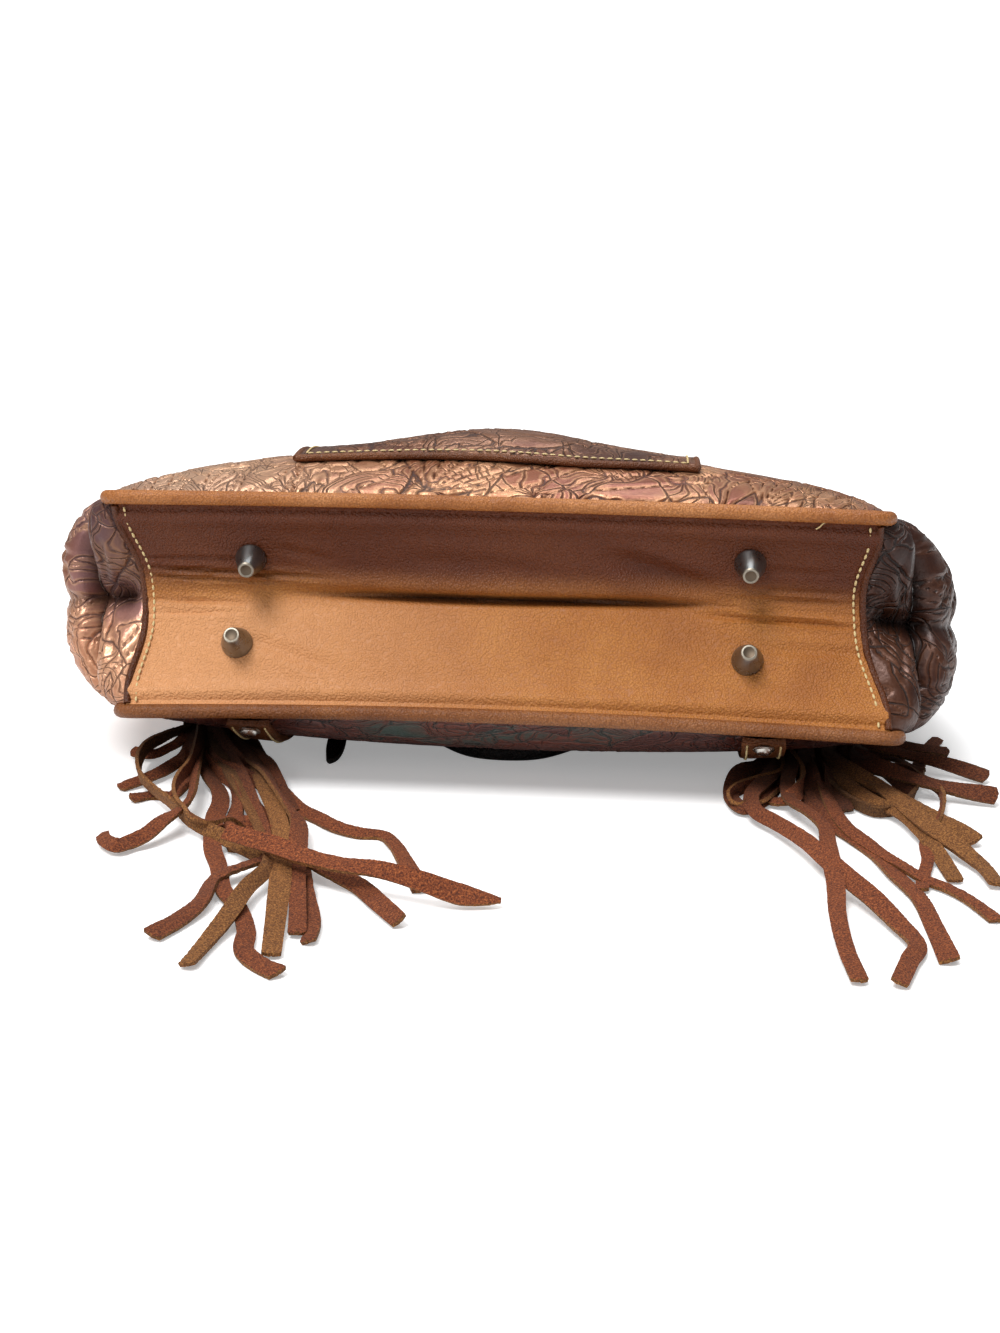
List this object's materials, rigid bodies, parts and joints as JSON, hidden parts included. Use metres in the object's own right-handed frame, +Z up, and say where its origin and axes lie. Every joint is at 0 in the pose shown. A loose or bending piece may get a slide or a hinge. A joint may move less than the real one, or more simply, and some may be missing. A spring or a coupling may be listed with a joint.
{
  "type": "tooled leather purse",
  "caption": "Open tote-shaped purse of tooled leather with rolled handles, cone feet and suede tassels, lying on its front.",
  "frame": {"origin": "on the floor, under the middle of the whole purse as it lies", "axes": "+Z up from the floor, the base faces -Y, the mouth faces +Y, +X is to the right as the base is seen"},
  "size_m": [0.4024, 0.6708, 0.1418],
  "materials": {
    "base_leather": "satin",
    "tooled_leather": "satin",
    "painted_leather": "satin",
    "piping_leather": "satin",
    "strap_leather": "satin",
    "handle_leather": "satin",
    "suede": "matte",
    "gunmetal": "satin"
  },
  "bodies": {
    "root": {"base_panel": "base_leather", "back_panel": "tooled_leather", "front_panel": "painted_leather", "piping_back": "piping_leather", "piping_front": "piping_leather", "gusset_left_lower": "tooled_leather", "gusset_left_upper": "tooled_leather", "gusset_right_lower": "tooled_leather", "gusset_right_upper": "tooled_leather", "back_pocket": "tooled_leather", "strap_left": "strap_leather", "strap_right": "strap_leather", "rivet_left": "gunmetal", "rivet_right": "gunmetal", "foot_1": "gunmetal", "foot_2": "gunmetal", "foot_3": "gunmetal", "foot_4": "gunmetal", "tassel_left": "suede", "tassel_right": "suede", "handle_front": "handle_leather", "handle_back": "handle_leather", "pull_tab": "handle_leather"}
  },
  "joints": []
}
